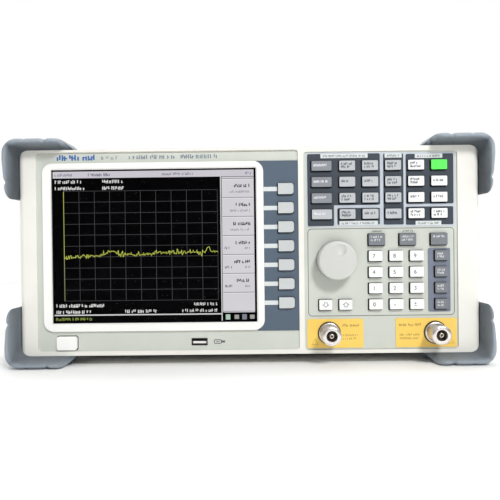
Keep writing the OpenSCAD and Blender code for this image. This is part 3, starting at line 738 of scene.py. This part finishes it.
def make_screen():
    s = Screen()
    right, bottom = 169.0, 127.2
    menu = 142.2
    # The title strip along the top, and two rows of readings under it
    title_end, title_v = 6.4, 3.7
    s.bar("title", 0.3, right, 0.8, title_end)
    s.words("title_text", 2, 17, title_v, 2.4)
    s.words("title_text", 30, 50, title_v, 2.6, 1.2)
    s.words("title_text", 92, 120, title_v, 2.2)
    s.words("title_text", 162, 167, title_v, 2.2)
    for v, spans in ((9.4, ((2, 25), (42, 60))), (14.9, ((2, 28), (42, 60)))):
        for u0, u1 in spans:
            s.words("white_text", u0, u1, v, 2.9, 1.15)
    # The graticule and the noisy trace
    left, top, width, height = 9.2, 17.3, 129.2, 92.2
    divisions = 10
    half_line = 0.22
    for i in range(divisions + 1):
        u = left + width * i / divisions
        v = top + height * i / divisions
        s.bar("axis" if i == 0 else "grid", u - half_line, u + half_line, top, top + height, 0.06)
        s.bar("grid", left, left + width, v - half_line, v + half_line, 0.05)
    samples = 250
    jitter = 0.12
    points = []
    for i in range(samples + 1):
        t = divisions * i / samples
        v = top + height / divisions * (trace_level(t) + rng.gauss(0, jitter))
        points.append((left + width * t / divisions, v))
    s.line("trace", points, 0.46)
    s.bar("trace", left - 0.16, left + 0.16, top + 0.5, points[0][1], Screen.RAISED)
    # Readings under the graticule, and the status row under a bright line
    s.words("white_text", 2, 43, 113.6, 2.9, 1.15)
    s.words("white_text", 118, 137.5, 113.0, 2.7, 1.1)
    s.words("white_text", 2, 31, 118.9, 2.9, 1.15)
    s.words("white_text", 60, 88, 118.6, 2.9, 1.15)
    s.words("white_text", 108, 137.5, 118.4, 2.7, 1.1)
    s.bar("bright", 0.3, menu - 1.2, 121.0, 122.0)
    s.bar("bright", menu - 1.3, menu - 0.5, title_end, bottom)
    s.words("green_text", 1.5, 32, 124.8, 2.5, 1.2)
    # The menu beside the soft keys: eight lines round seven boxes, and print in the first six
    s.bar("menu", menu, right, 6.8, 119.8)
    first, pitch = 8.2, 15.9
    for i in range(8):
        v = first + pitch * i
        s.bar("menu_line", menu + 0.4, right - 0.2, v - 0.25, v + 0.25, 0.1)
        s.bar("menu_light", menu + 0.4, right - 0.2, v + 0.3, v + 0.8, 0.1)
    for i in range(6):
        v = first + pitch * i
        s.words("menu_text", right - rng.uniform(15, 18), right - 3, v + 6, 2.9, 1.35)
        if i < 3:
            s.words("menu_faint", right - 20, right - 3, v + 11, 2.1, 0.9)
        else:
            s.words("menu_faint", right - 8, right - 3, v + 10.5, 2.1)
            s.words("menu_text", menu + 2, menu + 8, v + 10.5, 2.3)
    icons = ((2.2, "icon_green"), (9.5, "icon_grey"), (16, "icon_blue"), (22.5, "icon_grey"))
    for i, (across, name) in enumerate(icons):
        u = menu + across
        s.bar(name, u, u + 3.8, 122.0 + 0.4 * (i % 2), 126.4 - 0.5 * (i % 2), 0.08)
    # Colour and brightness of each layer
    colours = {
        "title": ("#D0CDD4", 1.0), "title_text": ("#6F6E86", 1.0), "white_text": ("#E4E4E2", 1.0),
        "grid": ("#4A4A4C", 0.75), "axis": ("#9C9C74", 1.0), "trace": ("#C9D25A", 1.0),
        "bright": ("#E9E9E9", 0.85), "green_text": ("#8FA04C", 0.9), "menu": ("#D0CDD2", 1.1),
        "menu_line": ("#6E6C74", 1.0), "menu_light": ("#F2F0F4", 1.0), "menu_text": ("#46444D", 1.0),
        "menu_faint": ("#85838B", 1.0), "icon_green": ("#B9D8C6", 0.9), "icon_grey": ("#B5B2B0", 0.8),
        "icon_blue": ("#8F95A0", 0.8),
    }
    for name, marks in s.layers.items():
        colour, level = colours[name]
        marks.piece(f"screen_{name}", lit(f"screen_{name}", colour, level), "display")
    rim = Marks(GLASS_Y, 0.05)
    x0, z1 = s.left - 1.05, s.top + 1.05
    wide, tall = 172.5, 129.9
    rim.line([(x0, z1), (x0 + wide, z1), (x0 + wide, z1 - tall), (x0, z1 - tall)], 1.9, closed=True)
    rim.piece("screen_rim", moulded("rim_grey", "#737578", 0.5, 0.1), "display")


# ---- Print on the front ----


def cap(corners):
    """Left, right, bottom and top of a key's cap, from the box of the key with its flange."""
    lo, hi = corners
    return lo.x + KEY_FLANGE, hi.x - KEY_FLANGE, lo.z + KEY_FLANGE, hi.z - KEY_FLANGE


def outline_plates(groups):
    """Pale borders round the slate plates, on the panel."""
    gap = 1.5
    broad = 2.7
    each = 0.03
    borders = Marks(PANEL_Y, 0.14)
    analyzer = min(groups, key=lambda b: b[0].x)
    notch = min((b for b in groups if b is not analyzer), key=lambda b: b[0].x)
    # Each line stands a little ahead of the last, so that faces never coincide where they cross
    for corners in groups:
        borders.front -= each
        x0, x1 = corners[0].x - gap / 2, corners[1].x + gap / 2
        z0, z1 = corners[0].z - gap / 2, corners[1].z + gap / 2
        if corners is analyzer:
            step_x, step_z = notch[0].x - 1.45, notch[1].z + 1.3
            borders.line([(step_x, z0), (step_x, step_z), (x1, step_z)], broad)
            borders.front -= each
            path = [(x1, step_z), (x1, z1), (x0, z1), (x0, z0), (step_x, z0)]
            borders.line(path, gap)
        else:
            borders.line(round_outline(x0, x1, z0, z1, 1.0, 3), gap, closed=True)
    borders.piece("plate_borders", moulded("print_pale", "#C4CCD6", 0.55, 0.1), "panel_plastic")


def label_plates(groups):
    """Pale label patches on the slate plates with filler print, and the soft keys' pointers."""
    half = 1.8
    patches = Marks(OVERLAY_Y, 0.05)
    labels = Marks(OVERLAY_Y - 0.05, 0.05)
    analyzer, marker, utility = sorted((b for b in groups if b[1].z > MID_Z + 60), key=lambda b: b[0].x)
    measurement, setting = sorted((b for b in groups if b[1].z < MID_Z + 60), key=lambda b: b[0].x)
    for (lo, hi), left, right, at_top in (
        (analyzer, 11, 10, True), (marker, 1.2, 1.2, True), (utility, 7.5, 9, True),
        (measurement, 1.6, 1.6, False), (setting, 8, 10, False),
    ):
        z = hi.z - 1.7 if at_top else lo.z + 1.3
        patches.patch(lo.x + left, hi.x - right, z, half)
        labels.words(lo.x + left + 2, hi.x - right - 2, z - 0.1, 2.0, 1.1)
    for i in range(1, 8):
        x0, _, z0, z1 = cap(box(f"soft_key_{i}"))
        patches.patch(x0 - 12, x0 - 0.6, (z0 + z1) / 2, half)
    patches.piece("plate_patches", moulded("print_patch", "#D9DEDF", 0.55, 0.1), "slate_overlay")
    labels.piece("plate_labels", moulded("print_grey", "#6E7678", 0.6, 0.1), "slate_overlay")


def print_panel():
    """The groove round the controls, drawn as a dark line of painted shade, the title strip, the small
    labels and the port plates' print.
    """
    dark = Marks(PANEL_Y, 0.05)
    # Left, right, bottom and top of the groove round the knob and the number keys; the dark line
    # drawn along it is painted shade
    controls = (49.5, 170.8, MID_Z - 54.9, MID_Z + 17.7)
    dark.line(round_outline(*controls, 3, 5), 0.55, closed=True)
    # A small plug beside the USB port
    usb_lo, usb_hi = box("usb_port")
    usb_z = (usb_lo.z + usb_hi.z) / 2
    plug_x = usb_hi.x + 10.4
    dark.line(round_outline(plug_x - 4.6, plug_x + 1.2, usb_z - 1.5, usb_z + 1.5, 0.7, 3), 0.7, closed=True)
    dark.bar(plug_x + 1.5, plug_x + 4.4, usb_z - 0.9, usb_z + 0.9)
    dark.bar(plug_x - 3.2, plug_x - 0.2, usb_z - 0.3, usb_z + 0.3)
    for key in ("cancel_key", "backspace_key"):
        x0, x1, _, z1 = cap(box(key))
        dark.words(x0 + 3.4, x1 - 1.5, z1 + 2.2, 1.7)
    dark.piece("panel_lines", moulded("print_and_groove_shade", "#5F6462", 0.6, 0.1), "panel_plastic")
    blue = Marks(PANEL_Y, 0.05)
    title_z = MID_Z + 79.6
    blue.words(-159.8, -127, title_z, 4.8, 1.5)
    blue.piece("title_mark", moulded("print_blue", "#3E68A6", 0.5, 0.1), "panel_plastic")
    faded = Marks(PANEL_Y, 0.05)
    faded.words(-122.5, -108.5, MID_Z + 79.2, 3.0)
    faded.words(-99.3, -60, title_z, 3.6, 1.25)
    faded.words(-56, -24, title_z, 3.6, 1.25)
    faded.piece("title_words", moulded("print_faded", "#76818F", 0.55, 0.1), "panel_plastic")
    brown = Marks(box("port_plates")[0].y, 0.05)
    (out_lo, out_hi), (in_lo, in_hi) = sorted(solids("port_plates"), key=lambda b: b[0].x)
    out_print = (out_hi.x - 17.5, out_hi.x - 3.5, out_hi.z)
    in_print = (in_lo.x + 2.5, in_lo.x + 21, in_hi.z)
    for x0, x1, top in (out_print, in_print):
        brown.words(x0, x1, top - 5.4, 2.4, 1.1)
        brown.words(x0 + 0.6, x1 - 1.2, top - 13.6, 1.9)
        brown.words(x0 + 0.6, x1 - 1.2, top - 16.6, 1.9)
    # A small triangle in the lower outer corner of each port plate
    wide, tall = 5.6, 4.6
    for x, z in ((out_lo.x + 3.4, out_lo.z + 3), (in_hi.x - 8, in_lo.z + 3)):
        brown.line([(x, z), (x + wide, z), (x + wide / 2, z + tall)], 0.5, closed=True)
    brown.piece("port_labels", moulded("print_brown", "#A8894A", 0.55, 0.1), "yellow_overlay")


def print_keys():
    """Filler legends on the keys but the green one, figures on the number keys and pointers on the
    arrow keys."""
    dark = moulded("legend_dark", "#373C41", 0.55, 0.1)
    light = moulded("legend_light", "#E2E5E8", 0.55, 0.1)
    groups = ("analyzer_keys", "measurement_keys", "marker_keys", "utility_keys", "setting_keys")
    margin, pitch = 1.7, 2.6
    for node in groups:
        shades = {"dark": Marks(KEY_Y), "light": Marks(KEY_Y)}
        for corners in solids(node):
            x0, x1, _, z1 = cap(corners)
            on_grey = node == "analyzer_keys" and x1 < GREY_KEYS_END
            on_green = node == "utility_keys" and x0 > GREEN_KEY[0] and z1 > GREEN_KEY[1]
            if on_green:
                continue
            ink = shades["light" if on_grey else "dark"]
            rows = 1 if on_grey or rng.random() < 0.6 else 2
            top_row = z1 - 3.4 + (rows - 1) * 0.9
            for row in range(rows):
                end = x1 - rng.uniform(2.2, 4.5)
                ink.words(x0 + margin, end, top_row - pitch * row, 2.2, 1.2)
        for shade, ink in shades.items():
            if ink.bm.verts:
                paint = dark if shade == "dark" else light
                ink.piece(f"{node}_{shade}_legends", paint, "white_key", node)
    margin, height = 1.8, 1.9
    for node in ["cancel_key", "backspace_key", "enter_key"] + [f"unit_key_{i}" for i in range(1, 5)]:
        x0, x1, _, z1 = cap(box(node))
        ink = Marks(KEY_Y)
        ink.words(x0 + margin, x1 - rng.uniform(1.4, 3), z1 - pitch, height)
        if node != "enter_key":
            ink.words(x0 + margin, x1 - rng.uniform(2, 4), z1 - 2 * pitch, height)
        ink.piece(f"{node}_legend", light, "grey_key", node)
    for node in [f"digit_key_{i}" for i in range(10)] + ["point_key", "sign_key"]:
        x0, x1, z0, z1 = cap(box(node))
        x, z = (x0 + x1) / 2 - 1.5, (z0 + z1) / 2
        ink = Marks(KEY_Y)
        if node == "point_key":
            ink.disc(x, z - 0.6, 0.45)
        elif node == "sign_key":
            ink.bar(x - 1.0, x + 1.0, z + 0.5, z + 0.85)
            ink.bar(x - 0.18, x + 0.18, z - 0.3, z + 1.65)
            ink.bar(x - 1.0, x + 1.0, z - 1.5, z - 1.15)
        else:
            ink.glyph(node[-1], x, z, 3.3)
        ink.piece(f"{node}_figure", dark, "white_key", node)
    for node, way in (("up_key", 1), ("down_key", -1)):
        x0, x1, z0, z1 = cap(box(node))
        x, z = (x0 + x1) / 2, (z0 + z1) / 2
        ink = Marks(KEY_Y)
        arrow = [(0, 1.9), (2.5, -0.1), (1.2, -0.1), (1.2, -1.8), (-1.2, -1.8), (-1.2, -0.1), (-2.5, -0.1)]
        ink.line([(x + u, z + way * v) for u, v in arrow], 0.45, closed=True)
        ink.piece(f"{node}_arrow", dark, "white_key", node)


def print_front():
    """Borders, labels and filler print on the panel, its overlays and the keys."""
    plates = solids("key_plates")
    tall = min(plates, key=lambda b: b[0].x)
    unit = min(plates, key=lambda b: b[1].z)
    groups = [b for b in plates if b is not tall and b is not unit]
    outline_plates(groups)
    label_plates(groups)
    print_panel()
    print_keys()


def dress_frame():
    """Gives every CAD node its material, and rounds the edges of those that show it. The bumpers
    and the ports are left out, because pieces of their own replace them."""
    welded = smoothing_nodes()
    soft_plate = ("#4F5E6F", (None, None), (45.0, None))
    unit_plate = ("#757C8C", (148.0, None), (None, MID_Z + 3))
    slate = moulded("slate_overlay", "#323B46", 0.5, 0.2, zones=(soft_plate, unit_plate))
    usb = middle(box("usb_port"))
    half = 5.7
    usb_tongue = ("#F4F4F1", (usb.x - half, usb.z - 1.6), (usb.x + half, usb.z + 0.35))
    # Behind these places the panel, the power key, the knob and the keys are near-black: painted shade
    # of the gaps round them and of their side walls
    panel_shade_from = PANEL_Y + 0.4
    power_shade_from = PANEL_Y + 0.2
    knob_shade_from = PANEL_Y - 4.5
    key_shade_from = KEY_Y + 1.1
    no_parts = 1000
    # Material and edge width of each node; those of the keys follow below
    finishes = {
        "front_bezel": (moulded("bezel_plastic", "#EEEDE6", 0.42, 0.2), 0.0),
        "front_panel": (moulded("panel_plastic", "#CCD0C8", 0.5, 0.25, painted_shade_from=panel_shade_from), 0.0),
        "display_surround": (moulded("surround_plastic", "#F7F7F4", 0.35, 0.12), 0.0),
        "display_window": (glass("window_glass", "#0C0D0E", 0.02, 0.05), 0.0),
        "lcd_module": (glass("display_glass", "#020203", 1.0, 0.3), 0.0),
        "key_plates": (slate, 0.0),
        "port_plates": (moulded("yellow_overlay", "#FAD264", 0.45, 0.15), 0.0),
        "front_board": (board("key_board", no_parts), 0.0),
        "usb_port": (moulded("usb_shell", "#37393B", 0.35, zones=(usb_tongue,)), 0.0),
        "top_cover": (painted("cover_paint", "#B3B7B7"), 0.0),
        "bottom_tray": (painted("tray_paint", "#A8ACAD"), 0.0),
        "rear_panel": (painted("rear_paint", "#B0B4B5"), 0.0),
        "fan_frame": (moulded("fan_plastic", "#26282A", 0.5), 0.3),
        "fan_rotor": (moulded("rotor_plastic", "#303335", 0.45), 0.2),
        "power_supply": (board("supply_board", box("power_supply")[0].z + 8), 0.0),
        "main_board": (board("logic_board", box("main_board")[0].z + 10), 0.0),
        "rf_module": (metal("screen_alloy", "#B8BDC2", 0.4), 0.3),
        "tracking_generator": (metal("generator_alloy", "#AEB4BA", 0.4), 0.3),
        "mains_inlet": (moulded("inlet_plastic", "#1B1C1E", 0.4), 0.3),
        "rear_connectors": (metal("connector_plating", "#C7CACD", 0.28), 0.15),
        "cover_screws": (metal("screw_plating", "#8F9499", 0.3), 0.2),
        "rf_cables": (metal("copper_line", "#C98B5A", 0.3), 0.0),
        "tuning_knob": (moulded("knob_plastic", "#CBCCC8", 0.38, 0.12, painted_shade_from=knob_shade_from), 0.15),
        "power_key": (moulded("power_plastic", "#FBFBF9", 0.4, 0.1, painted_shade_from=power_shade_from), 0.4),
        "carry_handle": (rubber("handle_rubber", "#3C4146"), 0.5),
    }
    grey_keys = ("#878B92", (None, MID_Z + 36), (GREY_KEYS_END, None))
    green_key = ("#5CF55C", GREEN_KEY, (None, None))
    light = moulded("light_key", "#BBBEC2", 0.45, 0.15, painted_shade_from=key_shade_from)
    soft = moulded("soft_key", "#C5C9CA", 0.45, 0.15, painted_shade_from=key_shade_from)
    white = moulded("white_key", "#F1F2F1", 0.45, 0.12, painted_shade_from=key_shade_from)
    grey = moulded("grey_key", "#787C83", 0.45, 0.15, painted_shade_from=key_shade_from)
    analyzer = moulded("analyzer_key", "#BBBEC2", 0.45, 0.15, zones=(grey_keys,), painted_shade_from=key_shade_from)
    utility = moulded("utility_key", "#EFF0F0", 0.45, 0.12, zones=(green_key,), painted_shade_from=key_shade_from)
    for node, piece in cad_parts.items():
        if node in finishes:
            material, width = finishes[node]
        elif node == "analyzer_keys":
            material, width = analyzer, 0.3
        elif node == "utility_keys":
            material, width = utility, 0.3
        elif node.startswith("soft_key"):
            material, width = soft, 0.3
        elif node in ("measurement_keys", "marker_keys"):
            material, width = light, 0.3
        elif node.startswith("unit_key") or node in ("cancel_key", "backspace_key", "enter_key"):
            material, width = grey, 0.3
        elif node in ("corner_bumpers", "rf_ports"):
            continue
        else:
            material, width = white, 0.3
        for i in range(len(piece.data.materials)):
            piece.data.materials[i] = material
        if width:
            soften(piece, width, welded)


place_camera()
light_scene()
lay_floor()
dress_frame()
make_bumpers()
make_ports()
make_screen()
print_front()
